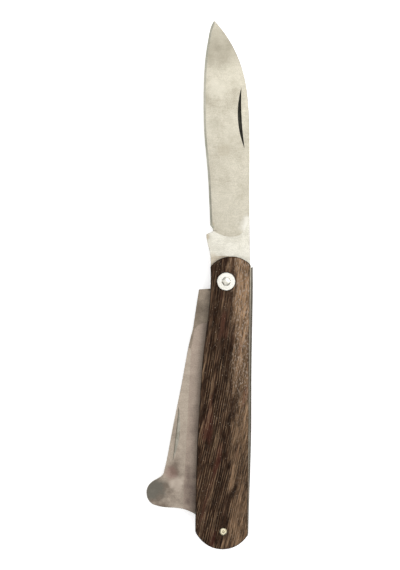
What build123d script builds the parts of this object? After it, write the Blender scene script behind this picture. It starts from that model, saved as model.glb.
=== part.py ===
# Folding grafting and budding knife, lying on its side with the main blade open.
#
# Two blades turn on one rivet at the head of the handle, each in a slot of its
# own with its own back spring: the grafting blade in the front slot, and the
# blade with the bark lifter on its back in the rear slot.
#
# Millimetres. The origin is on the pivot axis, in the flat of the back scale
# that the knife lies on. +X points to the back of the knife, where the springs
# are, +Y along the handle to the point of the open main blade, and +Z up
# through the thickness.

import os
from math import radians, tan

from build123d import *

# ---- thicknesses through the handle ----
scale_t = 4.0            # wooden scale at its crown
liner_t = 0.8            # steel liner under each scale
divider_t = 0.5          # centre liner between the two slots
blade_t = 1.9            # both blades, at the tang
side_gap = 0.05          # between a tang and each liner

# ---- the pivot and the tangs ----
rivet_r = 1.5            # shank of the pivot rivet
rivet_head_r = 1.7       # its domed front head
rivet_head_h = 0.45
washer_r = 3.4
washer_t = 1.2
washer_proud = 0.35      # front washer above the crown of the scale
tang_r = 5.85            # round of each tang
turn_gap = 0.05          # running clearance on the rivet, on the radius
pin_gap = 0.03           # clearance round a fixed pin, on the radius
seat_gap = 0.2           # gap round a washer or a pin head in the wood
spring_gap = 0.1         # between a tang and its spring

# ---- the handle ----
tail_y = 100.8           # pivot to the tail end
head_y = 9.45            # pivot to the head end of the wood
belly_head_x = 5.95      # belly edge of the handle beside the pivot
belly_tail_x = 10.0      # belly edge near the tail
wood_head_x = 9.05       # back edge of the wood beside the pivot
wood_tail_x = 9.75       # back edge of the wood near the tail
liner_proud = 0.35       # liners past the back edge of the wood
spring_head_x = 10.2     # back of the springs beside the pivot
spring_mid_x = 10.55     # back of the springs at their middle
spring_tail_x = 10.15    # back of the springs near the tail
end_sagitta = 5.6        # rise of the rounded tail end
end_tilt = 0.6           # its belly corner higher and its back corner lower by this
liner_inset = 0.1        # liners inside the wood along the belly and the tail
corner_r = 2.2           # tail corners
crown_r = 22.0           # crown across a scale
land_rise = 0.2          # crown planed off to leave the flat
rim_r = 0.9              # rounding of a scale's outer rim

# ---- pins at the tail and at the springs' middle ----
tail_pin_r = 1.05
tail_head_r = 1.4
tail_head_h = 0.8
tail_proud = 0.25        # front head of the tail pin above the wood
tail_pin_x = 0.55
tail_pin_inset = 6.8     # pin to the tail end
dimple_r = 0.5           # punch mark in its head
dressed_under = 0.0      # back washer, rivet and pin under the flat of the wood
flare = 0.45             # rivet's spread into the back washer
washer_edge = 0.12       # broken edge of washers and pin heads
spring_pin_r = 1.0
spring_pin_x = 7.6
spring_pin_share = 0.55  # its place along the handle

# ---- blades ----
tip_inset = 1.9          # closed main blade's reach, short of the tail end
lifter_gap = 2.15        # closed second blade's reach, short of the tail block
shoulder_y = 5.8         # tang shoulder, where it meets the back of the springs
shoulder_slope = 19.0    # of the shoulder and of the spring's end, in degrees
kick_x = 7.73            # kick, the corner that lands on the spring
kick_y = 16.6
heel_y = 21.2            # where the cutting edges begin
heel_x = 6.3
edge_t = 0.3             # blades at the ground edge, before sharpening
main_spine_x = 9.1       # back of the main blade at its shoulder
tip_taper = 0.2          # main blade's back, down at the point, on each face
tongue_taper = 0.46      # second blade's back, down at its far end, on each face
nick_depth = 0.5         # nail nicks
lifter_rest_turn = 166.5  # second blade's turn from open, as the knife lies here

os.makedirs("parts", exist_ok=True)

# ---- levels through the thickness, from the flat of the back scale up ----
slot_t = blade_t + 2 * side_gap
back_liner_z = scale_t
lifter_slot_z = back_liner_z + liner_t
divider_z = lifter_slot_z + slot_t
main_slot_z = divider_z + divider_t
front_liner_z = main_slot_z + slot_t
front_scale_z = front_liner_z + liner_t
top_z = front_scale_z + scale_t

tail_pin_y = tail_pin_inset - tail_y
slope = tan(radians(shoulder_slope))
spring_in_x = tang_r + spring_gap
bore_r = rivet_r + turn_gap
spring_pin_y = -spring_pin_share * tail_y
main_reach = tail_y - tip_inset
block_top_y = tail_pin_y + 2.7
lifter_reach = -block_top_y - lifter_gap
wide = 40                # clear of every outline


def down_handle(share):
    """Y of a station on the handle: 0 at the pivot, 1 at the tail end."""
    return -share * tail_y


def along_blade(share, reach):
    """Y of a station on an open blade: 0 at its heel, 1 at its reach."""
    return heel_y + share * (reach - heel_y)


def shoulder_at(x):
    """Y of the tang's shoulder line at x."""
    return shoulder_y - (spring_head_x - x) * slope


belly_corner_y = down_handle(1) + end_sagitta + end_tilt
back_corner_y = down_handle(1) + end_sagitta - end_tilt


def belly_edge(top_y, inset):
    """Belly edge of the handle from top_y down to the tail, moved in by inset."""
    stations = (
        (-belly_head_x + 0.05, 0.05),
        (-belly_head_x - 1.25, 0.187),
        (-belly_tail_x + 1.55, 0.31),
        (-belly_tail_x + 0.9, 0.44),
        (-belly_tail_x + 0.2, 0.61),
        (-belly_tail_x - 0.05, 0.76),
    )
    return Spline(
        (-belly_head_x + inset, top_y),
        *((x + inset, down_handle(share)) for x, share in stations),
        (-belly_tail_x + inset, belly_corner_y),
    )


def tail_arc(belly_x, back_x, inset):
    """Rounded tail end, from the belly edge round to the back."""
    return ThreePointArc(
        (belly_x, belly_corner_y), (0.1, down_handle(1) + inset), (back_x, back_corner_y))


def wood_outline():
    """Sketch lines of a scale: bowed belly, rounded head and tail."""
    belly = belly_edge(5.6, 0)
    end = tail_arc(-belly_tail_x, wood_tail_x, 0)
    back = Spline(
        end @ 1,
        (wood_tail_x - 0.05, down_handle(0.75)),
        (wood_tail_x - 0.2, down_handle(0.56)),
        (wood_head_x + 0.15, down_handle(0.30)),
        (wood_head_x, 0),
        (wood_head_x - 0.05, 6.6),
    )
    ThreePointArc(back @ 1, (1.5, head_y), belly @ 0)


def tail_corners(vertices):
    """The two corners where the sides meet the rounded tail."""
    return vertices.sort_by(Axis.Y)[:2]


# ---- plan shapes shared by several pieces ----
with BuildSketch() as scale_plan:
    with BuildLine():
        wood_outline()
    make_face()
    fillet(tail_corners(scale_plan.vertices()), corner_r)

# The liners keep a squarer head corner and stand past the wood along the back.
with BuildSketch() as liner_plan:
    with BuildLine():
        belly = belly_edge(5.0, liner_inset)
        end = tail_arc(-belly_tail_x + liner_inset, wood_tail_x + 0.2, liner_inset)
        back = Spline(
            end @ 1,
            (wood_tail_x + 0.2, down_handle(0.75)),
            (wood_tail_x + 0.05, down_handle(0.56)),
            (wood_head_x + liner_proud + 0.1, down_handle(0.30)),
            (wood_head_x + liner_proud, 0),
            (wood_head_x + liner_proud - 0.05, 6.2),
        )
        head = ThreePointArc(
            back @ 1, (-0.8, head_y + 0.25), (-belly_head_x + liner_inset, 9.0))
        Line(head @ 1, belly @ 0)
    make_face()
    fillet(tail_corners(liner_plan.vertices()), corner_r)
    fillet(liner_plan.vertices().sort_by(lambda v: v.X - v.Y)[0], 1.2)

# A spring fills its slot along the back and wraps the tail pin in a solid block,
# whose belly side slants away from the closed main blade.
with BuildSketch() as spring_plan:
    with BuildLine():
        shoe_end = shoulder_at(spring_in_x) - spring_gap
        inner = Polyline(
            (spring_head_x + 1, shoulder_at(spring_head_x + 1) - spring_gap),
            (spring_in_x, shoe_end),
            (spring_in_x, -kick_y - 3.0),
        )
        waist = Spline(
            inner @ 1,
            (spring_in_x - 0.75, down_handle(0.40)),
            (spring_in_x - 1.35, down_handle(0.56)),
            (spring_in_x - 0.75, down_handle(0.74)),
            (spring_in_x - 0.75, block_top_y),
        )
        block = Polyline(
            waist @ 1,
            (tail_pin_x - 1.55, block_top_y),
            (tail_pin_x - 2.7, tail_pin_y - 2.0),
            (tail_pin_x - 4.2, down_handle(1) - 1),
            (spring_head_x + 1, down_handle(1) - 1),
        )
        Line(block @ 1, inner @ 0)
    make_face()
    fillet(spring_plan.vertices().sort_by_distance(waist @ 1)[0], 2.0)
    fillet(spring_plan.vertices().sort_by_distance((tail_pin_x - 1.55, block_top_y))[0], 0.6)
    with BuildLine():
        back = Spline(
            (spring_tail_x, back_corner_y),
            (spring_tail_x + 0.02, down_handle(0.87)),
            (spring_mid_x - 0.1, down_handle(0.70)),
            (spring_mid_x, down_handle(0.55)),
            (spring_head_x + 0.05, down_handle(0.33)),
            (spring_head_x, 0),
            (spring_head_x - 0.15, 6.5),
        )
        Polyline(
            back @ 1, (-belly_tail_x - 2, 6.5), (-belly_tail_x - 2, belly_corner_y),
            (-belly_tail_x, belly_corner_y))
        tail_arc(-belly_tail_x, spring_tail_x, liner_inset)
    make_face(mode=Mode.INTERSECT)
    fillet(
        spring_plan.vertices().sort_by_distance((spring_tail_x, back_corner_y))[0],
        corner_r)


# ---- scales: a crowned slab, with seats for the washer and the tail pin ----
def wood_scale(washer_out, pin_out):
    """A scale in the front position; its washer and pin head stand out this far."""
    with BuildPart() as scale:
        with BuildSketch(Plane.XY.offset(front_scale_z)):
            add(scale_plan.sketch)
        extrude(amount=scale_t)
        crown_x = (wood_tail_x - belly_tail_x) / 2
        with BuildSketch(Plane.XZ.offset(-head_y - 5)):
            with Locations((crown_x, top_z + land_rise - crown_r)):
                Circle(crown_r)
        extrude(amount=tail_y + head_y + 10, mode=Mode.INTERSECT)
        walls = scale.faces().filter_by(lambda f: abs(f.normal_at().Z) < 0.01)
        rim = walls.edges().filter_by(
            lambda e: e.center().Z > front_scale_z + 0.5 and abs((e % 0.5).Z) < 0.5)
        fillet(rim, rim_r)
        with BuildSketch(Plane.XY.offset(front_scale_z)):
            Circle(rivet_r + pin_gap)
            with Locations((tail_pin_x, tail_pin_y)):
                Circle(tail_pin_r + pin_gap)
        extrude(amount=scale_t, mode=Mode.SUBTRACT)
        with BuildSketch(Plane.XY.offset(top_z + washer_out - washer_t)):
            Circle(washer_r + seat_gap)
        extrude(amount=scale_t, mode=Mode.SUBTRACT)
        with BuildSketch(Plane.XY.offset(top_z + pin_out - tail_head_h)):
            with Locations((tail_pin_x, tail_pin_y)):
                Circle(tail_head_r + seat_gap)
        extrude(amount=scale_t, mode=Mode.SUBTRACT)
    return scale


front_scale = wood_scale(washer_proud, tail_proud)

# The back scale mirrors the front one, with its metal dressed down to the flat.
back_seats = wood_scale(-dressed_under, -dressed_under)
with BuildPart() as back_scale:
    add(mirror(back_seats.part, about=Plane.XY.offset(top_z / 2)))


# ---- liners, centre liner and springs: flat plates on the same pins ----
def plate(plan, z, thickness, with_pivot):
    """Extrude a plan at z and drill it for the pins that pass through it."""
    with BuildPart() as flat:
        with BuildSketch(Plane.XY.offset(z)):
            add(plan.sketch)
            if with_pivot:
                Circle(rivet_r + pin_gap, mode=Mode.SUBTRACT)
            with Locations((tail_pin_x, tail_pin_y)):
                Circle(tail_pin_r + pin_gap, mode=Mode.SUBTRACT)
            with Locations((spring_pin_x, spring_pin_y)):
                Circle(spring_pin_r + pin_gap, mode=Mode.SUBTRACT)
        extrude(amount=thickness)
    return flat


back_liner = plate(liner_plan, back_liner_z, liner_t, True)
divider = plate(liner_plan, divider_z, divider_t, True)
front_liner = plate(liner_plan, front_liner_z, liner_t, True)
lifter_spring = plate(spring_plan, lifter_slot_z, slot_t, False)
main_spring = plate(spring_plan, main_slot_z, slot_t, False)


# ---- blades ----
def tang_foot(spine_x):
    """Shoulder line of a tang, from inside its round out to the spine."""
    return Line(
        (tang_r * 0.68, shoulder_at(tang_r * 0.68)),
        (spine_x, shoulder_at(spine_x)))


def ricasso(heel):
    """From the heel of the edge: notch, kick and belly, down into the round."""
    notch = Polyline(
        heel,
        (-heel_x + 0.9, heel_y - 1.2),
        (-heel_x + 1.15, kick_y + 2.6),
        (-heel_x + 0.6, kick_y + 2.0),
        (-kick_x, kick_y + 1.25),
        (-kick_x, kick_y),
    )
    return Spline(
        notch @ 1,
        (-kick_x + 0.55, kick_y - 2.3),
        (-belly_head_x - 0.35, kick_y - 5.7),
        (-tang_r - 0.02, kick_y - 9.1),
        (-tang_r, 0),
    )


def three_point_plane(a, b, c):
    """Plane through three points, facing up."""
    normal = (Vector(*b) - Vector(*a)).cross(Vector(*c) - Vector(*a))
    if normal.Z < 0:
        normal = normal * -1
    return Plane(origin=a, z_dir=normal)


def ground_off(face_z, *planes):
    """Cutters for what a grind takes off above face planes, past the plunge line."""
    cutters = []
    for face in planes:
        with BuildPart() as cutter:
            with BuildSketch(Plane.XY.offset(face_z - blade_t)):
                with BuildLine():
                    plunge = Spline(
                        (-kick_x - 8, heel_y - 1.0),
                        (-heel_x + 1.2, heel_y - 2.1),
                        (-2.0, heel_y - 3.6),
                        (2.0, heel_y - 4.2),
                        (5.0, heel_y - 3.4),
                        (6.9, heel_y - 1.0),
                        (8.2, heel_y + 2.6),
                        (9.2, heel_y + 9.0),
                    )
                    Polyline(
                        plunge @ 1, (wide, heel_y + 9.0), (wide, tail_y + wide),
                        (-wide, tail_y + wide), (-wide, heel_y - 1.0), plunge @ 0)
                make_face()
            extrude(amount=3 * blade_t)
            split(bisect_by=face)
        cutters.append(cutter.part)
    return cutters


def height_on(face, x, y):
    """Height of a tilted plane above a point."""
    normal = face.z_dir
    return face.origin.Z - (
        normal.X * (x - face.origin.X) + normal.Y * (y - face.origin.Y)) / normal.Z


def nail_nick(tip_end, tang_end, bow_out, bow_in, face):
    """Crescent cutter in a ground face, deepest at its spine side, out to the belly."""
    start = Vector(*tip_end)
    end = Vector(*tang_end)
    along = (end - start).normalized()
    belly = Vector(along.Y, -along.X, 0)
    fall = nick_depth / (bow_out - bow_in)
    outer = (start + end) * 0.5 + belly * bow_out
    inner = (start + end) * 0.5 + belly * bow_in
    face_z = height_on(face, outer.X, outer.Y)
    with BuildPart() as cutter:
        with BuildSketch(Plane.XY.offset(face_z - blade_t)):
            with BuildLine():
                ThreePointArc(start, outer, end)
                ThreePointArc(end, inner, start)
            make_face()
        extrude(amount=2 * blade_t)
        split(bisect_by=Plane(
            origin=(outer.X, outer.Y, face_z),
            z_dir=Vector(-fall * belly.X, -fall * belly.Y, 1)))
    return cutter.part


def blade_blank(outline, z):
    """Extrude a blade's outline with the round and the bore of its tang."""
    with BuildPart() as blank:
        with BuildSketch(Plane.XY.offset(z)):
            with BuildLine():
                outline()
            make_face()
            Circle(tang_r)
            Circle(bore_r, mode=Mode.SUBTRACT)
        extrude(amount=blade_t)
    return blank


def main_outline():
    """Open main blade: back curving down to a fine point, edge bowed at the belly."""
    def up(share):
        return along_blade(share, main_reach)

    foot = tang_foot(main_spine_x)
    spine = Spline(
        foot @ 1,
        (8.57, heel_y - 1.2),
        (8.14, up(0.278)),
        (7.88, up(0.470)),
        (7.10, up(0.615)),
        (5.85, up(0.713)),
        (3.17, up(0.819)),
        (-0.84, up(0.915)),
        (-4.25, up(0.973)),
        (-6.20, up(1.0)),
    )
    edge = Spline(
        spine @ 1,
        (-7.25, up(0.974)),
        (-8.26, up(0.914)),
        (-9.12, up(0.835)),
        (-9.70, up(0.709)),
        (-9.64, up(0.562)),
        (-9.00, up(0.417)),
        (-7.73, up(0.272)),
        (-6.90, up(0.126)),
        (-heel_x, up(0)),
    )
    belly = ricasso(edge @ 1)
    Line(belly @ 1, foot @ 0)


def lifter_outline():
    """Open second blade: back with the lifter's tongue at its end, blunt far end."""
    def up(share):
        return along_blade(share, lifter_reach)

    foot = tang_foot(main_spine_x + 0.1)
    tang_spine = Spline(foot @ 1, (8.44, heel_y - 8.2), (7.62, heel_y - 0.6))
    spine = Spline(
        tang_spine @ 1,
        (7.68, up(0.050)),
        (6.80, up(0.257)),
        (5.45, up(0.600)),
        (4.80, up(0.745)),
        (4.72, up(0.803)),
    )
    tongue = Spline(
        spine @ 1,
        (4.95, up(0.826)),
        (6.45, up(0.853)),
        (8.30, up(0.881)),
        (9.25, up(0.912)),
        (8.95, up(0.953)),
        (7.20, up(0.988)),
        (4.31, up(1.000)),
    )
    far_end = Spline(
        tongue @ 1,
        (1.63, up(0.999)),
        (-1.69, up(0.990)),
        (-5.10, up(0.982)),
        (-8.26, up(0.985)),
        (-11.60, up(0.997)),
    )
    edge = Spline(
        far_end @ 1,
        (-11.20, up(0.880)),
        (-10.20, up(0.700)),
        (-8.70, up(0.430)),
        (-7.30, up(0.190)),
        (-heel_x, up(0)),
    )
    belly = ricasso(edge @ 1)
    Line(belly @ 1, foot @ 0)


def both_faces(piece_cutters, z):
    """The cutters for a blade's front face, and their mirrors for its back face."""
    middle = Plane.XY.offset(z + blade_t / 2)
    return piece_cutters + [mirror(c, about=middle) for c in piece_cutters]


main_z = main_slot_z + side_gap
main_face_z = main_z + blade_t
thinning = (blade_t - edge_t) / 2
main_face = three_point_plane(
    (main_spine_x, heel_y, main_face_z),
    (main_spine_x, main_reach, main_face_z - tip_taper),
    (-9.7, along_blade(0.5, main_reach), main_face_z - thinning))
main_grind = ground_off(main_face_z, main_face)
main_blank = blade_blank(main_outline, main_z)
with BuildPart() as main_blade:
    add(main_blank.part)
    for cutter in both_faces(main_grind, main_z):
        add(cutter, mode=Mode.SUBTRACT)
    add(nail_nick(
        (4.6, along_blade(0.676, main_reach)), (6.2, along_blade(0.377, main_reach)),
        2.0, 0.55, main_face), mode=Mode.SUBTRACT)

lifter_z = lifter_slot_z + side_gap
lifter_face_z = lifter_z + blade_t
ridge_low = (6.4, along_blade(0.1, lifter_reach), lifter_face_z)
lifter_back_face = three_point_plane(
    ridge_low,
    (ridge_low[0] - 8, ridge_low[1], lifter_face_z),
    (0, lifter_reach, lifter_face_z - tongue_taper))
lifter_edge_face = three_point_plane(
    ridge_low,
    (-6.6, ridge_low[1], lifter_face_z - thinning),
    (-11.4, along_blade(0.965, lifter_reach), lifter_face_z - thinning))
lifter_grind = ground_off(lifter_face_z, lifter_back_face, lifter_edge_face)
lifter_blank = blade_blank(lifter_outline, lifter_z)
with BuildPart() as lifter_open:
    add(lifter_blank.part)
    for cutter in both_faces(lifter_grind, lifter_z):
        add(cutter, mode=Mode.SUBTRACT)
    add(nail_nick(
        (2.6, along_blade(0.735, lifter_reach)), (5.5, along_blade(0.435, lifter_reach)),
        1.6, 0.15, lifter_back_face), mode=Mode.SUBTRACT)
with BuildPart() as lifter_blade:
    add(lifter_open.part.rotate(Axis.Z, lifter_rest_turn))


# ---- rivet, washers and pins: turned pieces ----
def turned(x, y, *profile):
    """Revolve a profile of (radius, height) points round a vertical axis."""
    with BuildPart() as piece:
        with BuildSketch(Plane(origin=(x, y, 0), x_dir=(1, 0, 0), z_dir=(0, -1, 0))):
            with BuildLine():
                Polyline(*profile, close=True)
            make_face()
        revolve(axis=Axis((x, y, 0), (0, 0, 1)))
    return piece


washer_top_z = top_z + washer_proud
head_top_z = washer_top_z + rivet_head_h
with BuildPart() as pivot_rivet:
    with BuildSketch(Plane.XZ):
        with BuildLine():
            Polyline(
                (0, head_top_z), (0, dressed_under), (rivet_r + flare, dressed_under),
                (rivet_r, dressed_under + flare), (rivet_r, washer_top_z),
                (rivet_head_r, washer_top_z), (rivet_head_r, washer_top_z + 0.12))
            TangentArc(
                (0, head_top_z), (rivet_head_r, washer_top_z + 0.12), tangent=(1, 0))
        make_face()
    revolve(axis=Axis.Z)

front_washer = turned(
    0, 0,
    (rivet_r + pin_gap, washer_top_z - washer_t),
    (washer_r, washer_top_z - washer_t),
    (washer_r, washer_top_z - washer_edge),
    (washer_r - washer_edge, washer_top_z),
    (rivet_r + pin_gap, washer_top_z))

back_washer = turned(
    0, 0,
    (rivet_r + pin_gap, dressed_under + washer_t),
    (washer_r, dressed_under + washer_t),
    (washer_r, dressed_under + washer_edge),
    (washer_r - washer_edge, dressed_under),
    (rivet_r + flare + pin_gap, dressed_under),
    (rivet_r + pin_gap, dressed_under + flare))

pin_top_z = top_z + tail_proud
tail_pin = turned(
    tail_pin_x, tail_pin_y,
    (0, dressed_under),
    (tail_head_r - washer_edge, dressed_under),
    (tail_head_r, dressed_under + washer_edge),
    (tail_head_r, dressed_under + tail_head_h),
    (tail_pin_r, dressed_under + tail_head_h),
    (tail_pin_r, pin_top_z - tail_head_h),
    (tail_head_r, pin_top_z - tail_head_h),
    (tail_head_r, pin_top_z - 2 * washer_edge),
    (tail_head_r - 2 * washer_edge, pin_top_z),
    (dimple_r, pin_top_z),
    (0, pin_top_z - dimple_r))

spring_pin = turned(
    spring_pin_x, spring_pin_y,
    (0, back_liner_z),
    (spring_pin_r, back_liner_z),
    (spring_pin_r, front_scale_z),
    (0, front_scale_z))


# ---- every piece, one STEP each ----
pieces = {
    "front_scale": front_scale,
    "back_scale": back_scale,
    "front_liner": front_liner,
    "back_liner": back_liner,
    "divider": divider,
    "main_spring": main_spring,
    "lifter_spring": lifter_spring,
    "main_blade": main_blade,
    "lifter_blade": lifter_blade,
    "pivot_rivet": pivot_rivet,
    "front_washer": front_washer,
    "back_washer": back_washer,
    "tail_pin": tail_pin,
    "spring_pin": spring_pin,
}
for node, piece in pieces.items():
    piece.part.label = node
    export_step(piece.part, f"parts/{node}.step")
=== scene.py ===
import math

import bpy
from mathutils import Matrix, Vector


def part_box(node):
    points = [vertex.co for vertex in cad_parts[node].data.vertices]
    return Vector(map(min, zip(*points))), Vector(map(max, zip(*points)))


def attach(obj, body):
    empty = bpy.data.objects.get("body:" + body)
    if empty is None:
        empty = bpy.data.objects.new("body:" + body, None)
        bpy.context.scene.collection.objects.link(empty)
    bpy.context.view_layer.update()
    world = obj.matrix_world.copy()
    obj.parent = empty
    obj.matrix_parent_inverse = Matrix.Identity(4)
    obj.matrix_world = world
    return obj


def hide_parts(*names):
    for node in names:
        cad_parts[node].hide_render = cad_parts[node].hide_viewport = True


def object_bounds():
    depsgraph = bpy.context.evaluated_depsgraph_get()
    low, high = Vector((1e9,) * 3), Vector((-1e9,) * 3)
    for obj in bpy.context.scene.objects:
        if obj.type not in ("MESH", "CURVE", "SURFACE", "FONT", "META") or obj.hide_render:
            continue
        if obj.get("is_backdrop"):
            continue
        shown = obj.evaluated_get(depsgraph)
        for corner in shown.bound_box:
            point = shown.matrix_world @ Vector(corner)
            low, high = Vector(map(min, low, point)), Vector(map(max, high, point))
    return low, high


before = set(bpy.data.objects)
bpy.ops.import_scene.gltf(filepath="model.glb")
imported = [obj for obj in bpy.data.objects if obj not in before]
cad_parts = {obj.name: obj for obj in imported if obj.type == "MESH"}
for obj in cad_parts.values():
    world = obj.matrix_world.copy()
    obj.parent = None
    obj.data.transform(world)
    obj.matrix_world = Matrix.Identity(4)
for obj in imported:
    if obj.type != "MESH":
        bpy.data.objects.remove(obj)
cadLow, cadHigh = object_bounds()
mm = 0.001
print("frame loaded:", len(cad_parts), "pieces")


# node helpers

def addNode(tree, kind, x, y, values=None, **settings):
    node = tree.nodes.new(kind)
    node.location = (x, y)
    for key, value in settings.items():
        setattr(node, key, value)
    for key, value in (values or {}).items():
        node.inputs[key].default_value = value
    return node


def newGroup(name, ins, outs):
    group = bpy.data.node_groups.new(name, "ShaderNodeTree")
    for label, kind, value in ins:
        socket = group.interface.new_socket(
            name=label, in_out="INPUT", socket_type="NodeSocket" + kind)
        if value is not None:
            socket.default_value = value
    for label, kind in outs:
        group.interface.new_socket(
            name=label, in_out="OUTPUT", socket_type="NodeSocket" + kind)
    start = addNode(group, "NodeGroupInput", -1900, 0)
    end = addNode(group, "NodeGroupOutput", 1300, 0)
    return group, start, end


def joinUp(tree, node, index, value):
    if hasattr(value, "is_output"):
        tree.links.new(value, node.inputs[index])
    else:
        node.inputs[index].default_value = value


def mathNode(tree, operation, a, b, x, y, c=0.0, clamp=False):
    node = addNode(tree, "ShaderNodeMath", x, y, operation=operation, use_clamp=clamp)
    for index, value in enumerate((a, b, c)):
        joinUp(tree, node, index, value)
    return node.outputs[0]


def noiseNode(tree, vector, scale, x, y, detail=2.0, rough=0.5):
    node = addNode(tree, "ShaderNodeTexNoise", x, y,
                   {"Scale": scale, "Detail": detail, "Roughness": rough})
    tree.links.new(vector, node.inputs["Vector"])
    return node.outputs["Fac"]


def stepNode(tree, value, low, high, x, y, toLow=0.0, toHigh=1.0):
    node = addNode(tree, "ShaderNodeMapRange", x, y,
                   {"From Min": low, "From Max": high, "To Min": toLow, "To Max": toHigh},
                   interpolation_type="SMOOTHSTEP")
    tree.links.new(value, node.inputs["Value"])
    return node.outputs["Result"]


def mixColor(tree, factor, a, b, x, y, blend="MIX"):
    node = addNode(tree, "ShaderNodeMix", x, y, data_type="RGBA", blend_type=blend)
    for index, value in ((0, factor), (6, a), (7, b)):
        if index and isinstance(value, tuple):
            value = (*value, 1.0)
        joinUp(tree, node, index, value)
    return node.outputs[2]


def scaleColor(tree, color, amount, x, y):
    node = addNode(tree, "ShaderNodeVectorMath", x, y, operation="SCALE")
    tree.links.new(color, node.inputs[0])
    tree.links.new(amount, node.inputs["Scale"])
    return node.outputs[0]


# wood figure: thin light lines that lean more towards the tail, dark bands,
# a lighter back that is partly lighter wood and partly painted sheen, grey flecks partly painted
# as sheen, red patches, pores and painted glints

grain = {                     # noise scale, share along and into the wood, detail, mask from, to
    "bands": (380.0, 0.06, 0.5, 2.0, 0.40, 0.62),
    "lines": (1500.0, 0.035, 0.6, 1.5, 0.56, 0.68),
    "breaks": (420.0, 0.30, 0.6, 1.0, 0.38, 0.62),
    "fine": (3600.0, 0.06, 0.8, 1.0, 0.36, 0.64),
    "pores": (3000.0, 0.05, 1.0, 1.0, 0.42, 0.30),
    "flecks": (2400.0, 0.42, 1.0, 1.5, 0.50, 0.66),
    "glints": (3100.0, 0.60, 1.0, 0.5, 0.74, 0.80),
    "patches": (240.0, 0.26, 1.0, 1.0, 0.60, 0.74),
}
figureShares = {              # how far each part of the figure covers what is under it
    "lines": 0.85,
    "ribs": 0.62,
    "patches": 0.24,
    "pores": 0.70,
    "glints": 0.55,
    "poreDepth": 1.6,         # pores against lines in the relief
}

woodGroup, start, end = newGroup(
    "woodFigure",
    [("Vector", "Vector", None), ("Lean", "Float", 0.11), ("Lean Growth", "Float", 0.6),
     ("Light From", "Float", 0.003), ("Rib Count", "Float", 7400.0),
     ("Dark", "Color", (0.020, 0.0092, 0.0045, 1)), ("Mid", "Color", (0.050, 0.0265, 0.0155, 1)),
     ("Light", "Color", (0.270, 0.170, 0.098, 1)), ("Line", "Color", (0.215, 0.137, 0.081, 1)),
     ("Fleck", "Color", (0.36, 0.285, 0.225, 1)), ("Red", "Color", (0.13, 0.036, 0.026, 1))],
    [("Color", "Color"), ("Roughness", "Float"), ("Height", "Float")])
g = woodGroup
place = addNode(g, "ShaderNodeSeparateXYZ", -1700, 0)
g.links.new(start.outputs["Vector"], place.inputs[0])
px, py, pz = place.outputs
lean = mathNode(g, "MULTIPLY", py, start.outputs["Lean"], -1500, 300)
bow = mathNode(g, "MULTIPLY", mathNode(g, "MULTIPLY", py, py, -1500, 150),
               start.outputs["Lean Growth"], -1350, 150)
warp = noiseNode(g, start.outputs["Vector"], 38.0, -1500, -250, detail=1.0)
warp = mathNode(g, "MULTIPLY", warp, 0.0024, -1300, -250)
across = mathNode(g, "ADD", mathNode(g, "SUBTRACT", px, lean, -1300, 300), bow, -1200, 250)
across = mathNode(g, "ADD", across, warp, -1050, 200)


def stretched(alongShare, deepShare, x, y):
    node = addNode(g, "ShaderNodeCombineXYZ", x, y)
    g.links.new(across, node.inputs[0])
    g.links.new(mathNode(g, "MULTIPLY", py, alongShare, x - 150, y), node.inputs[1])
    g.links.new(mathNode(g, "MULTIPLY", pz, deepShare, x - 150, y - 150), node.inputs[2])
    return node.outputs[0]


noise, mask = {}, {}
for row, (name, (scale, along, deep, detail, low, high)) in enumerate(grain.items()):
    y = 500 - 220 * row
    noise[name] = noiseNode(g, stretched(along, deep, -800, y), scale, -600, y, detail=detail)
    mask[name] = stepNode(g, noise[name], low, high, -400, y)
lineMask = mathNode(g, "MULTIPLY", mask["lines"], mask["breaks"], -200, 150)

# ribs: even lines that the bands push about, broken here and there, weaker by the pivot
ribPlace = mathNode(g, "MULTIPLY", across, start.outputs["Rib Count"], -900, 1300)
ribPush = mathNode(g, "MULTIPLY", noise["bands"], 9.0, -900, 1450)
ribs = mathNode(g, "SINE", mathNode(g, "ADD", ribPlace, ribPush, -750, 1300), 0.0, -600, 1300)
ribs = mathNode(g, "MULTIPLY", stepNode(g, ribs, 0.35, 0.95, -450, 1300),
                stepNode(g, noise["breaks"], 0.36, 0.55, -450, 1450), -300, 1300)
ribFade = stepNode(g, py, -0.012, -0.045, -450, 1600, toLow=0.4)
ribs = mathNode(g, "MULTIPLY", ribs, ribFade, -150, 1300)

# the lighter back, partly lighter wood and partly a painted sheen from the light on the right,
# starts at a leaning, wandering edge and fades away to the tail
strip = mathNode(g, "SUBTRACT", px, start.outputs["Light From"], -800, 800)
wander = mathNode(g, "MULTIPLY_ADD", noise["breaks"], 0.008, -650, 950, c=-0.004)
strip = mathNode(g, "ADD", strip, wander, -500, 800)
stripFade = stepNode(g, py, -0.085, -0.020, -350, 1000, toLow=0.45)
lighterWoodAndSheen = mathNode(g, "MULTIPLY", stepNode(g, strip, -0.0024, 0.0028, -350, 800), stripFade,
                     -200, 850)

color = mixColor(g, mask["bands"], start.outputs["Dark"], start.outputs["Mid"], 0, 400)
stripTone = mathNode(g, "MULTIPLY_ADD", mask["bands"], 0.55, 0, 700, c=0.40)
stripAmount = mathNode(g, "MULTIPLY", lighterWoodAndSheen, stripTone, 100, 700)
color = mixColor(g, stripAmount, color, start.outputs["Light"], 200, 400)
lineAmount = mathNode(g, "MULTIPLY", lineMask, figureShares["lines"], 50, 150)
ribAmount = mathNode(g, "MULTIPLY", ribs, figureShares["ribs"], 50, 0)
lineAmount = mathNode(g, "MAXIMUM", lineAmount, ribAmount, 200, 150)
color = mixColor(g, lineAmount, color, start.outputs["Line"], 350, 400)
fineTone = mathNode(g, "MULTIPLY_ADD", mask["fine"], 0.90, 200, 0, c=0.55)
color = scaleColor(g, color, fineTone, 500, 400)
# grey flecks, mostly on the lighter back: partly wood, partly a painted speckled sheen
fleckShare = stepNode(g, py, -0.060, -0.030, 200, -750, toLow=0.15, toHigh=0.70)
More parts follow.
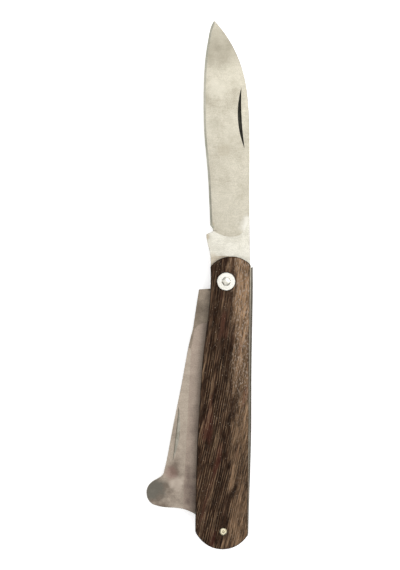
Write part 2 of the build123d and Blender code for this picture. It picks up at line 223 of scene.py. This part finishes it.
fleckShare = mathNode(g, "MULTIPLY_ADD", lighterWoodAndSheen, fleckShare, 350, -600, c=0.05)
fleckAmount = mathNode(g, "MULTIPLY", mask["flecks"], fleckShare, 450, -500)
color = mixColor(g, fleckAmount, color, start.outputs["Fleck"], 650, 400)
# red patches and dark pores are the wood's own colour; the small bright specks are painted
# glints
for name, tint, x in (("patches", start.outputs["Red"], 800),
                      ("pores", (0.008, 0.005, 0.004), 950),
                      ("glints", (0.50, 0.40, 0.30), 1100)):
    amount = mathNode(g, "MULTIPLY", mask[name], figureShares[name], x - 150, -300)
    color = mixColor(g, amount, color, tint, x, 300)
g.links.new(color, end.inputs["Color"])
g.links.new(stepNode(g, noise["bands"], 0.3, 0.7, 700, -100, toLow=0.45, toHigh=0.62),
            end.inputs["Roughness"])
poreDepth = mathNode(g, "MULTIPLY", mask["pores"], figureShares["poreDepth"], 500, -200)
g.links.new(mathNode(g, "SUBTRACT", lineMask, poreDepth, 700, -300), end.inputs["Height"])


# steel finish: slow stains, cross grinding lines, small rust specks; on the blades the stain
# amount also carries painted shade and light

wear = {                      # noise scale, detail, roughness, mask from, to
    "blotches": (420.0, 3.0, 0.6, 0.35, 0.70),
    "grit": (2600.0, 1.0, 0.5, 0.30, 0.70),
    "specks": (1900.0, 2.0, 0.5, 0.68, 0.78),
}

steelGroup, start, end = newGroup(
    "steelFinish",
    [("Vector", "Vector", None), ("Clean", "Color", (0.7, 0.68, 0.62, 1)),
     ("Stain", "Color", (0.45, 0.42, 0.34, 1)), ("Speck", "Color", (0.12, 0.08, 0.05, 1)),
     ("Stain Size", "Float", 75.0), ("Stain And Shade Amount", "Float", 0.6),
     ("Speck Amount", "Float", 0.3), ("Rough Low", "Float", 0.28),
     ("Rough High", "Float", 0.45)],
    [("Color", "Color"), ("Roughness", "Float"), ("Height", "Float")])
g = steelGroup
place = addNode(g, "ShaderNodeSeparateXYZ", -1500, 0)
g.links.new(start.outputs["Vector"], place.inputs[0])
px, py, pz = place.outputs
cloudNode = addNode(g, "ShaderNodeTexNoise", -900, 300, {"Detail": 4.0, "Roughness": 0.6})
g.links.new(start.outputs["Vector"], cloudNode.inputs["Vector"])
g.links.new(start.outputs["Stain Size"], cloudNode.inputs["Scale"])
clouds = stepNode(g, cloudNode.outputs["Fac"], 0.38, 0.66, -700, 300)
mask = {}
for row, (name, (scale, detail, rough, low, high)) in enumerate(wear.items()):
    y = -100 - 220 * row
    spread = noiseNode(g, start.outputs["Vector"], scale, -900, y, detail=detail, rough=rough)
    mask[name] = stepNode(g, spread, low, high, -700, y)

# grinding runs across the blade, so its noise is drawn out that way
crossways = addNode(g, "ShaderNodeCombineXYZ", -1000, -900)
g.links.new(mathNode(g, "MULTIPLY", px, 0.05, -1150, -900), crossways.inputs[0])
g.links.new(py, crossways.inputs[1])
g.links.new(pz, crossways.inputs[2])
grinding = noiseNode(g, crossways.outputs[0], 4200.0, -800, -900, detail=2.0)

cloudAmount = mathNode(g, "MULTIPLY", clouds, start.outputs["Stain And Shade Amount"], -500, 300)
blotchAmount = mathNode(g, "MULTIPLY", mask["blotches"], 0.22, -500, 0)
stainAndShade = mathNode(g, "ADD", cloudAmount, blotchAmount, -300, 200, clamp=True)
color = mixColor(g, stainAndShade, start.outputs["Clean"], start.outputs["Stain"], -100, 300)
speckAmount = mathNode(g, "MULTIPLY", mask["specks"], start.outputs["Speck Amount"], -300, -600)
color = mixColor(g, speckAmount, color, start.outputs["Speck"], 100, 200)
grindingTone = stepNode(g, grinding, 0.3, 0.7, -500, -900, toLow=0.95, toHigh=1.04)
color = scaleColor(g, color, grindingTone, 300, 100)
gritTone = mathNode(g, "MULTIPLY_ADD", mask["grit"], 0.18, -500, -450, c=0.90)
color = scaleColor(g, color, gritTone, 500, 100)
g.links.new(color, end.inputs["Color"])
roughness = addNode(g, "ShaderNodeMapRange", 300, -200)
g.links.new(stainAndShade, roughness.inputs["Value"])
g.links.new(start.outputs["Rough Low"], roughness.inputs["To Min"])
g.links.new(start.outputs["Rough High"], roughness.inputs["To Max"])
g.links.new(roughness.outputs["Result"], end.inputs["Roughness"])
g.links.new(grinding, end.inputs["Height"])


# painted shade where a surface turns away from lying flat, by the piece's own normal: rims that
# turn from the light above are darkened

rimShadeGroup, start, end = newGroup(
    "rimShade",
    [("Color", "Color", (0.5, 0.5, 0.5, 1)), ("Normal", "Vector", None),
     ("Shade", "Color", (0.02, 0.014, 0.010, 1)), ("From", "Float", 0.96),
     ("To", "Float", 0.75), ("Amount", "Float", 0.7)],
    [("Color", "Color")])
g = rimShadeGroup
tilt = addNode(g, "ShaderNodeSeparateXYZ", -1500, 0)
g.links.new(start.outputs["Normal"], tilt.inputs[0])
level = mathNode(g, "ABSOLUTE", tilt.outputs[2], 0.0, -1300, 0)
turned = addNode(g, "ShaderNodeMapRange", -1000, 0, interpolation_type="SMOOTHSTEP")
g.links.new(level, turned.inputs["Value"])
g.links.new(start.outputs["From"], turned.inputs["From Min"])
g.links.new(start.outputs["To"], turned.inputs["From Max"])
amount = mathNode(g, "MULTIPLY", turned.outputs["Result"], start.outputs["Amount"], -800, 0)
g.links.new(mixColor(g, amount, start.outputs["Color"], start.outputs["Shade"], -500, 0),
            end.inputs["Color"])


def newMaterial(name):
    material = bpy.data.materials.new(name)
    material.use_nodes = True
    tree = material.node_tree
    tree.nodes.clear()
    shader = addNode(tree, "ShaderNodeBsdfPrincipled", 600, 0)
    output = addNode(tree, "ShaderNodeOutputMaterial", 900, 0)
    tree.links.new(shader.outputs[0], output.inputs["Surface"])
    coords = addNode(tree, "ShaderNodeTexCoord", -900, 0)
    mapping = addNode(tree, "ShaderNodeMapping", -700, 0)
    tree.links.new(coords.outputs["Object"], mapping.inputs["Vector"])
    return material, tree, shader, mapping


def groupNode(tree, group, x, y, values):
    node = addNode(tree, "ShaderNodeGroup", x, y, node_tree=group)
    for key, value in values.items():
        node.inputs[key].default_value = value
    return node


def addBump(tree, shader, height, strength, distance):
    bump = addNode(tree, "ShaderNodeBump", 350, -300,
                   {"Strength": strength, "Distance": distance})
    tree.links.new(height, bump.inputs["Height"])
    tree.links.new(bump.outputs[0], shader.inputs["Normal"])


def addRimShade(tree, color, values):
    coords = addNode(tree, "ShaderNodeTexCoord", -100, 300)
    rim = groupNode(tree, rimShadeGroup, 150, 200, values)
    tree.links.new(color, rim.inputs["Color"])
    tree.links.new(coords.outputs["Normal"], rim.inputs["Normal"])
    return rim.outputs["Color"]


def woodMaterial(name, offset, values):
    material, tree, shader, mapping = newMaterial(name)
    mapping.inputs["Location"].default_value = offset
    figure = groupNode(tree, woodGroup, -300, 0, values)
    tree.links.new(mapping.outputs[0], figure.inputs["Vector"])
    # painted shade: the scale's rounded rims are darkened where they turn away from the light
    color = addRimShade(tree, figure.outputs["Color"], {"From": 0.93, "To": 0.45, "Amount": 0.85})
    tree.links.new(color, shader.inputs["Base Color"])
    tree.links.new(figure.outputs["Roughness"], shader.inputs["Roughness"])
    shader.inputs["Specular IOR Level"].default_value = 0.03
    addBump(tree, shader, figure.outputs["Height"], 0.6, 0.00008)
    return material


def steelMaterial(name, values, metallic=1.0, bump=0.15, offset=(0, 0, 0), rim=None, fades=(),
                  spots=()):
    material, tree, shader, mapping = newMaterial(name)
    mapping.inputs["Location"].default_value = offset
    finish = groupNode(tree, steelGroup, -300, 0, values)
    tree.links.new(mapping.outputs[0], finish.inputs["Vector"])
    if fades:                 # (axis, from and to in m, amount) of more stain colour, less where negative; on the blades some of these paint shade and light
        where = addNode(tree, "ShaderNodeSeparateXYZ", -900, -300)
        tree.links.new(mapping.outputs[0], where.inputs[0])
        stainAndShade = values.get("Stain And Shade Amount", 0.6)
        for axis, low, high, amount in fades:
            more = stepNode(tree, where.outputs[axis], low, high, -700, -300, toHigh=amount)
            stainAndShade = mathNode(tree, "ADD", more, stainAndShade, -500, -300)
        tree.links.new(stainAndShade, finish.inputs["Stain And Shade Amount"])
    color = finish.outputs["Color"]
    if spots:                 # (place in mm, radius in mm, colour, amount), ragged by noise
        ragged = noiseNode(tree, mapping.outputs[0], 420.0, -700, 500, detail=3.0, rough=0.6)
    for place, radius, tint, amount in spots:
        away = addNode(tree, "ShaderNodeVectorMath", -500, 500, operation="DISTANCE")
        tree.links.new(mapping.outputs[0], away.inputs[0])
        away.inputs[1].default_value = [value * mm for value in place]
        edge = mathNode(tree, "MULTIPLY_ADD", ragged, radius * mm, -300, 650, c=-radius * mm / 2)
        edge = mathNode(tree, "ADD", away.outputs["Value"], edge, -150, 500)
        mask = stepNode(tree, edge, radius * mm, radius * mm * 0.35, 0, 500, toHigh=amount)
        color = mixColor(tree, mask, color, tint, 150, 400)
    if rim:
        color = addRimShade(tree, color, rim)
    tree.links.new(color, shader.inputs["Base Color"])
    tree.links.new(finish.outputs["Roughness"], shader.inputs["Roughness"])
    shader.inputs["Metallic"].default_value = metallic
    addBump(tree, shader, finish.outputs["Height"], bump, 0.00002)
    return material


def coat(node, material):    # a CAD piece that keeps its shape
    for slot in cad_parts[node].material_slots:
        slot.material = material


# mesh helpers

sameSpot = 0.002 * mm         # points nearer than this are one
cutSpot = 0.0002 * mm         # and nearer than this to a cut are on it
samePlane = math.radians(0.4)     # faces that turn by less are one
roundUnder = math.radians(28)     # faces that turn by less are shaded round


def startEdit(piece, kind):
    bpy.ops.object.select_all(action="DESELECT")
    piece.select_set(True)
    bpy.context.view_layer.objects.active = piece
    bpy.ops.object.mode_set(mode="EDIT")
    bpy.ops.mesh.select_mode(type=kind)
    bpy.ops.mesh.select_all(action="DESELECT")
    bpy.ops.object.mode_set(mode="OBJECT")


def pick(piece, kind, test):     # selects what passes the test, and stays in edit mode
    startEdit(piece, kind)
    parts = {"FACE": piece.data.polygons, "EDGE": piece.data.edges,
             "VERT": piece.data.vertices}[kind]
    for part in parts:
        part.select = test(part)
    bpy.ops.object.mode_set(mode="EDIT")


def leave():
    bpy.ops.object.mode_set(mode="OBJECT")


def tidyMesh(piece):         # joins flat faces, drops slivers
    startEdit(piece, "VERT")
    bpy.ops.object.mode_set(mode="EDIT")
    bpy.ops.mesh.select_all(action="SELECT")
    bpy.ops.mesh.dissolve_limited(angle_limit=samePlane, delimit={"MATERIAL"})
    bpy.ops.mesh.dissolve_degenerate(threshold=sameSpot)
    leave()


def copyOf(node, name):      # a merged copy of a CAD piece, to shape further
    piece = bpy.data.objects.new(name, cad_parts[node].data.copy())
    bpy.context.scene.collection.objects.link(piece)
    piece.data.materials.clear()
    startEdit(piece, "VERT")
    bpy.ops.mesh.customdata_custom_splitnormals_clear()
    bpy.ops.object.mode_set(mode="EDIT")
    bpy.ops.mesh.select_all(action="SELECT")
    bpy.ops.mesh.remove_doubles(threshold=sameSpot)
    leave()
    tidyMesh(piece)
    return piece


def stand(piece, node, body):     # puts a finished piece in the CAD piece's place
    bpy.ops.object.select_all(action="DESELECT")
    piece.select_set(True)
    bpy.context.view_layer.objects.active = piece
    bpy.ops.object.shade_smooth_by_angle(angle=roundUnder)
    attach(piece, body)
    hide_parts(node)


# what the wood and the steels look like

frontWood = woodMaterial("frontWood", (0, 0, 0), {})
backWood = woodMaterial("backWood", (0.031, 0.013, 0.02), {
    "Lean": -0.08, "Lean Growth": -0.3, "Light From": 0.036})
# groundSteel: stains, and colour darker towards the point and the cutting edge with lighter and
# darker patches, partly stain and partly painted reflection; the bright spot by the spine at the
# plunge is a painted highlight
groundSteel = steelMaterial("groundSteel", {
    "Clean": (0.50, 0.468, 0.385, 1), "Stain": (0.30, 0.272, 0.208, 1), "Stain And Shade Amount": 0.34,
    "Stain Size": 95.0, "Speck Amount": 0.12},
    fades=((1, 0.058, 0.098, 0.60), (0, -0.004, -0.010, 0.15)),
    spots=(((-6.5, 21.5, 9), 2.2, (0.22, 0.17, 0.10), 0.5),
           ((-4.5, 73.0, 9), 5.0, (0.54, 0.51, 0.425), 0.5),
           ((-2.5, 90.0, 9), 13.0, (0.29, 0.265, 0.206), 0.62),
           ((-5.5, 60.0, 9), 3.2, (0.36, 0.335, 0.265), 0.45),
           ((-1.8, 50.0, 9), 3.4, (0.35, 0.315, 0.24), 0.5),
           ((8.3, 22.0, 9), 4.5, (0.64, 0.62, 0.56), 0.9)))
brightSteel = steelMaterial("brightSteel", {
    "Clean": (0.59, 0.57, 0.50, 1), "Stain": (0.42, 0.40, 0.335, 1), "Stain And Shade Amount": 0.5,
    "Stain Size": 260.0, "Speck Amount": 0.3},
    spots=(((-7.5, 17.0, 9), 1.6, (0.30, 0.24, 0.16), 0.6),
           ((-5.0, 9.0, 9), 2.5, (0.40, 0.34, 0.26), 0.5)))
keenSteel = steelMaterial("keenSteel", {
    "Clean": (0.44, 0.425, 0.355, 1), "Stain": (0.30, 0.295, 0.235, 1), "Stain And Shade Amount": 0.6,
    "Speck Amount": 0.1})
sideSteel = steelMaterial("sideSteel", {
    "Clean": (0.46, 0.43, 0.36, 1), "Stain": (0.20, 0.17, 0.13, 1), "Stain And Shade Amount": 0.8,
    "Speck Amount": 0.6, "Rough Low": 0.4, "Rough High": 0.6})
# the dark nick slope and the near-black nick wall are partly grime, partly painted shade in the
# recess
nickSlope = steelMaterial("nickSlope", {
    "Clean": (0.045, 0.043, 0.034, 1), "Stain": (0.014, 0.013, 0.009, 1), "Stain Size": 300.0,
    "Rough Low": 0.6, "Rough High": 0.8}, metallic=0.9)
nickWall = steelMaterial("nickWall", {
    "Clean": (0.012, 0.012, 0.010, 1), "Stain": (0.006, 0.006, 0.005, 1),
    "Rough Low": 0.7, "Rough High": 0.8}, metallic=0.0)
nickWorn = steelMaterial("nickWorn", {
    "Clean": (0.46, 0.43, 0.365, 1), "Stain": (0.27, 0.25, 0.20, 1), "Stain Size": 300.0,
    "Rough Low": 0.4, "Rough High": 0.5})
# the lifter's two ground facets, lifterBack and lifterGround, are one steel; their different
# base colours are painted shading. lifterBack is lighter from x -18 mm towards the handle and
# slightly towards the top, darker towards the far end; its light spot at the lower end of the
# ridge is a painted highlight, the reddish and grey spots are stains
lifterBack = steelMaterial("lifterBack", {
    "Clean": (0.375, 0.318, 0.258, 1), "Stain": (0.19, 0.152, 0.120, 1), "Stain And Shade Amount": 0.95,
    "Speck Amount": 0.35, "Rough Low": 0.4, "Rough High": 0.55},
    fades=((0, -0.0182, -0.0158, -0.7), (1, -0.048, -0.036, -0.1), (1, -0.066, -0.078, 0.3)),
    spots=(((-17.2, -77.0, 6.5), 3.8, (0.46, 0.39, 0.325), 0.7),
           ((-19.5, -73.0, 6.5), 3.6, (0.22, 0.13, 0.11), 0.5),
           ((-26.5, -79.0, 6.5), 6.5, (0.125, 0.122, 0.103), 0.75)))
# lifterGround: darker towards the far end; lighter away from the handle, which leaves it darker
# next to the handle as a painted shadow
lifterGround = steelMaterial("lifterGround", {
    "Clean": (0.325, 0.265, 0.215, 1), "Stain": (0.19, 0.145, 0.12, 1), "Stain And Shade Amount": 0.45,
    "Speck Amount": 0.35, "Rough Low": 0.4, "Rough High": 0.55},
    fades=((1, -0.060, -0.080, 0.6), (0, -0.0128, -0.0148, -0.5)))
# lifterFlat: darker than the main blade's flats, partly stain and partly painted shade; the
# darkening towards the top of the tang and the dark band along its top edge are painted shadow
lifterFlat = steelMaterial("lifterFlat", {
    "Clean": (0.25, 0.205, 0.16, 1), "Stain": (0.11, 0.088, 0.066, 1), "Stain And Shade Amount": 0.4,
    "Speck Amount": 0.5, "Rough Low": 0.4, "Rough High": 0.55},
    fades=((1, -0.014, -0.005, 0.6), (1, -0.0041, -0.0031, 1.5)))
linerSteel = steelMaterial("linerSteel", {
    "Clean": (0.44, 0.39, 0.31, 1), "Stain": (0.24, 0.20, 0.15, 1), "Rough Low": 0.35})
springSteel = steelMaterial("springSteel", {
    "Clean": (0.13, 0.118, 0.10, 1), "Stain": (0.07, 0.06, 0.045, 1)})
washerSteel = steelMaterial("washerSteel", {
    "Clean": (0.70, 0.685, 0.63, 1), "Stain": (0.50, 0.48, 0.42, 1), "Stain Size": 300.0,
    "Stain And Shade Amount": 0.5, "Rough Low": 0.3, "Rough High": 0.5}, bump=0.3)
# painted shade: the rim settings below darken the sloping sides of the rivet's and the pin's
# heads
rivetSteel = steelMaterial("rivetSteel", {
    "Clean": (0.74, 0.73, 0.66, 1), "Stain": (0.34, 0.31, 0.25, 1), "Stain Size": 260.0,
    "Stain And Shade Amount": 0.5, "Rough Low": 0.22, "Rough High": 0.4},
    rim={"From": 0.965, "To": 0.84, "Shade": (0.06, 0.045, 0.03, 1), "Amount": 0.95})
pinBrass = steelMaterial("pinBrass", {
    "Clean": (0.86, 0.80, 0.60, 1), "Stain": (0.52, 0.43, 0.24, 1), "Stain Size": 700.0,
    "Stain And Shade Amount": 0.5, "Rough Low": 0.2, "Rough High": 0.4},
    rim={"From": 0.92, "To": 0.6, "Shade": (0.10, 0.07, 0.03, 1), "Amount": 0.9})
for node, material in {
        "front_scale": frontWood, "back_scale": backWood, "front_liner": linerSteel,
        "back_liner": linerSteel, "divider": linerSteel, "main_spring": springSteel,
        "lifter_spring": springSteel, "spring_pin": linerSteel}.items():
    coat(node, material)
print("materials made")


# blades: bright flats, stained ground faces with painted reflection, highlight and shade, a
# sharpened edge, grime and painted shade in the nick

flatSteel, backSteel, frontSteel, keen, side, nickFloor, nickGrimeAndShade = range(7)
faceLimits = {                # how the faces of a blade are told apart
    "flat": 0.003,            # sideways part of the normal, up to which a face is a flat
    "front": 0.03,            # and from which it is ground at the front, not the back
    "broad": 0.99,            # upright part of the normal of the flats and ground faces
    "lying": 0.9,             # and with the sharpened band
    "sloping": 0.5,           # and with the slope of the nick
    "nickReach": 2.6,         # from the straight side of the nail nick, mm
    "nickSlack": 0.1,
    "nickDepth": 0.3,         # lowest corner of its faces, under the middle of the blade, mm
    "wornFrom": 0.7,          # distance from which a worn nick is dark, mm
    "cornerArea": 2.0,        # faces larger than this keep crisp outlines, mm2
}
blades = {
    "mainBladeGround": {
        "node": "main_blade", "slot": "blade_steel",
        "turn": 0.0,              # degrees from open, as it lies
        "heel": (-6.25, 21.15),   # where the cutting edge begins and ends, mm, blade open
        "point": (-6.1, 99.5),
        "nick": ((4.6, 73.8), (6.2, 50.4)),       # ends of the nail nick, mm, blade open
        "worn": False,            # a worn nick is dark on its belly side only
        "plunge": ((-5.1, 8.4), (12.0, 25.5)),    # across and along, the step to the flat, mm
        "banded": (frontSteel, nickFloor, nickGrimeAndShade),      # what the sharpened band goes round
        "edgeWidth": 0.85,        # its width, mm
        "keen": 0.12,             # share of the edge's thickness that is left
        "arris": 0.12,            # broken corners of the back, mm
        "grimeAndShade": 0.10,            # dark rim inside the nail nick, mm
        "steels": (brightSteel, groundSteel, groundSteel, keenSteel, sideSteel, nickSlope,
                   nickWall),
    },
    "lifterBladeGround": {
        "node": "lifter_blade", "slot": "lifter_steel",
        "turn": 166.5,
        "heel": (-6.25, 21.15),
        "point": (-11.2, 87.2),
        "nick": ((2.6, 71.2), (5.55, 50.7)),
        "worn": True,
        "plunge": ((-5.1, 7.3), (12.0, 28.1)),
        "banded": (frontSteel,),
        "edgeWidth": 0.7,
        "keen": 0.12,
        "arris": 0.12,
        "grimeAndShade": 0.16,
        "steels": (lifterFlat, lifterBack, lifterGround, keenSteel, sideSteel, nickWorn,
                   nickWall),
    },
}


def openPlace(point, turn):      # in mm, with the blade turned back to open
    angle = math.radians(turn)
    return Vector((math.cos(angle) * point.x + math.sin(angle) * point.y,
                   math.cos(angle) * point.y - math.sin(angle) * point.x, point.z)) / mm


def edgeKeys(piece, test):       # edges of the faces that pass the test
    return {key for face in piece.data.polygons if test(face) for key in face.edge_keys}


def lying(face):
    return abs(face.normal.z) > faceLimits["lying"]


def groundBlade(name, values):
    piece = copyOf(values["node"], name)
    mesh = piece.data
    low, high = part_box(values["node"])
    middle = (low + high) / 2
    heel, point = values["heel"], values["point"]
    for material in values["steels"]:
        mesh.materials.append(material)

    def onEdge(spot):
        where = openPlace(spot, values["turn"])
        return where.x < heel[0] and where.y > heel[1] and (
            where.y < point[1] or where.x < point[0])

    tip, root = (Vector(spot) for spot in values["nick"])
    chord = root - tip

    def offChord(where):
        return chord.cross(where.xy - tip) / chord.length

    def inNick(where):
        share = (where.xy - tip).dot(chord) / chord.length_squared
        return 0 < share < 1 and (
            -faceLimits["nickReach"] < offChord(where) < faceLimits["nickSlack"])

    def inPlunge(where):
        (left, right), (near, far) = values["plunge"]
        return left < where.x < right and near < where.y < far

    def steelOf(face):
        where = openPlace(face.center, values["turn"])
        upright, lean = abs(face.normal.z), face.normal.xy.length
        lowest = min(mesh.vertices[index].co.z for index in face.vertices) - middle.z
        if lean < faceLimits["flat"]:
            return flatSteel
        if upright > faceLimits["broad"]:
            return frontSteel if lean > faceLimits["front"] else backSteel
        if lowest > -faceLimits["nickDepth"] * mm and inNick(where):
            return nickFloor if upright > faceLimits["sloping"] or values["worn"] else nickGrimeAndShade
        return frontSteel if lowest > 0 and inPlunge(where) else side

    for face in mesh.polygons:
        face.material_index = steelOf(face)

    # a sharpened band: an inset ring whose outer rim is pressed flat
    edgeSpots = [vertex.co.copy() for vertex in mesh.vertices if onEdge(vertex.co)]
    pick(piece, "FACE", lambda face: face.material_index in values["banded"] and (
        face.material_index != frontSteel or lying(face)))
    bpy.ops.mesh.inset(thickness=values["edgeWidth"] * mm, use_even_offset=True)
    leave()
    rim = {vertex.index for vertex in mesh.vertices
           if any((vertex.co - spot).length < sameSpot / 2 for spot in edgeSpots)}
    pick(piece, "VERT", lambda vertex: vertex.index in rim)
    bpy.ops.transform.resize(value=(1, 1, values["keen"]), center_override=middle)
    leave()
    for face in mesh.polygons:
        if rim.intersection(face.vertices) and abs(face.normal.z) > faceLimits["sloping"]:
            face.material_index = keen
    tidyMesh(piece)

    # grime and painted shade: a dark inset ring inside the nail nick
    pick(piece, "FACE", lambda face: face.material_index == nickFloor)
    bpy.ops.mesh.inset(thickness=values["grimeAndShade"] * mm, use_even_offset=False)
    leave()
    for face in mesh.polygons:
        if face.material_index == nickFloor and not face.select:
            off = offChord(openPlace(face.center, values["turn"]))
            if not values["worn"] or off < -faceLimits["wornFrom"]:
                face.material_index = nickGrimeAndShade

    # broken corners all round, apart from the cutting edge and the nick
    top = edgeKeys(piece, lambda face: lying(face) and face.material_index <= frontSteel)
    corners = top & edgeKeys(piece, lambda face: face.material_index == side)
    pick(piece, "EDGE", lambda edge: edge.key in corners and not onEdge(
        (mesh.vertices[edge.vertices[0]].co + mesh.vertices[edge.vertices[1]].co) / 2))
    bpy.ops.mesh.bevel(offset=values["arris"] * mm, segments=2, affect="EDGES", material=side)
    leave()
    crisp = faceLimits["cornerArea"] * mm * mm
    flats = edgeKeys(piece, lambda face: face.area > crisp and lying(face))
    pick(piece, "EDGE", lambda edge: edge.key in flats)
    bpy.ops.mesh.mark_sharp()
    leave()
    stand(piece, values["node"], values["node"])
    print(name, len(mesh.polygons), "faces")


for name, values in blades.items():
    groundBlade(name, values)


# washers, rivet and pins: struck with a hammer, so rims and domes have small flats

struck = {                    # (way round, lean from upright in degrees, depth in mm)
    "struckWasher": {
        "node": "front_washer", "body": "handle", "slot": "washer_steel", "steel": washerSteel,
        "blows": ((20, 84, 0.07), (75, 80, 0.04), (130, 84, 0.09), (196, 82, 0.05),
                  (250, 84, 0.08), (310, 80, 0.06), (345, 84, 0.03)),
    },
    "struckRivet": {
        "node": "pivot_rivet", "body": "handle", "slot": "washer_steel", "steel": rivetSteel,
        "blows": ((215, 32, 0.16), (305, 28, 0.12), (40, 30, 0.14), (130, 24, 0.10)),
    },
    "struckPin": {
        "node": "tail_pin", "body": "handle", "slot": "pin_brass", "steel": pinBrass,
        "blows": ((30, 30, 0.14), (105, 24, 0.10), (170, 34, 0.16), (250, 26, 0.12),
                  (310, 34, 0.15)),
    },
}


def strike(name, values):
    piece = copyOf(values["node"], name)
    low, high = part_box(values["node"])
    centre = (low + high) / 2
    for turn, tilt, depth in values["blows"]:
        turn, tilt = math.radians(turn), math.radians(tilt)
        way = Vector((math.sin(tilt) * math.cos(turn), math.sin(tilt) * math.sin(turn),
                      math.cos(tilt)))
        reach = max((vertex.co - centre).dot(way) for vertex in piece.data.vertices)
        startEdit(piece, "VERT")
        bpy.ops.object.mode_set(mode="EDIT")
        bpy.ops.mesh.select_all(action="SELECT")
        bpy.ops.mesh.bisect(plane_co=centre + way * (reach - depth * mm), plane_no=way,
                            clear_outer=True, use_fill=True, threshold=cutSpot)
        leave()
    piece.data.materials.append(values["steel"])
    stand(piece, values["node"], values["body"])
    print(name, len(piece.data.polygons), "faces")


for name, values in struck.items():
    strike(name, values)
coat("back_washer", washerSteel)


# camera straight above, floor and light

stageSizes = {
    "lens": 100.0,            # mm
    "sensor": 36.0,           # mm, long side
    "margin": 1.079,          # height of the view over the knife's length
    "aim": (-0.00068, -0.00054),      # from the middle of the knife's box, m
    "level": 0.7,             # share of the knife's height at which the margin holds
    "roll": 1.0,              # degrees
    "floor": 3.0,             # m
    "glow": 0.50,             # light given off by the paper
    "skyLow": 0.30,           # strength of the studio light, low down and overhead
    "skyHigh": 1.10,
    "skyWay": (0.28, 0.06, 0.958),    # towards its brightest part
}
middle = (cadLow + cadHigh) / 2
aimX, aimY = stageSizes["aim"]
viewHeight = (cadHigh.y - cadLow.y) * stageSizes["margin"]
reach = viewHeight * stageSizes["lens"] / stageSizes["sensor"]
bpy.ops.object.camera_add(
    location=(middle.x + aimX, middle.y + aimY, cadHigh.z * stageSizes["level"] + reach),
    rotation=(0, 0, math.radians(stageSizes["roll"])))
camera = bpy.context.object
camera.data.lens = stageSizes["lens"]
camera.data.sensor_width = stageSizes["sensor"]
camera.data.clip_start = 0.01
bpy.context.scene.camera = camera

bpy.ops.mesh.primitive_plane_add(size=stageSizes["floor"], location=(0, 0, 0))
floor = bpy.context.object
floor.name = "floor"
paper, tree, shader, mapping = newMaterial("paper")
shader.inputs["Base Color"].default_value = (0.93, 0.93, 0.93, 1)
shader.inputs["Roughness"].default_value = 0.9
shader.inputs["Specular IOR Level"].default_value = 0.0
shader.inputs["Emission Color"].default_value = (1, 1, 1, 1)
shader.inputs["Emission Strength"].default_value = stageSizes["glow"]
floor.data.materials.append(paper)
floor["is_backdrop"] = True

world = bpy.data.worlds.new("studio")
bpy.context.scene.world = world
world.use_nodes = True
sky = world.node_tree
way = addNode(sky, "ShaderNodeTexCoord", -1000, 0)
towards = addNode(sky, "ShaderNodeVectorMath", -800, 0, operation="DOT_PRODUCT")
sky.links.new(way.outputs["Generated"], towards.inputs[0])
towards.inputs[1].default_value = stageSizes["skyWay"]
strength = stepNode(sky, towards.outputs["Value"], 0.2, 1.0, -500, 0,
                    toLow=stageSizes["skyLow"], toHigh=stageSizes["skyHigh"])
sky.links.new(strength, sky.nodes["Background"].inputs["Strength"])
sky.nodes["Background"].inputs["Color"].default_value = (1, 1, 1, 1)

lights = {                    # place in m, size in m, power in W
    "key": ((0.30, 0.25, 0.75), 0.6, 2.4),
    "fill": ((-0.45, -0.2, 0.7), 0.8, 1.0),
}
for name, (place, size, power) in lights.items():
    bpy.ops.object.light_add(type="AREA", location=place)
    light = bpy.context.object
    light.name = name
    light.data.size = size
    light.data.energy = power
    light.rotation_euler = Vector(place).to_track_quat("Z", "Y").to_euler()
bpy.context.scene.view_settings.view_transform = "Standard"
print("camera, floor and light placed")

low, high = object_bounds()
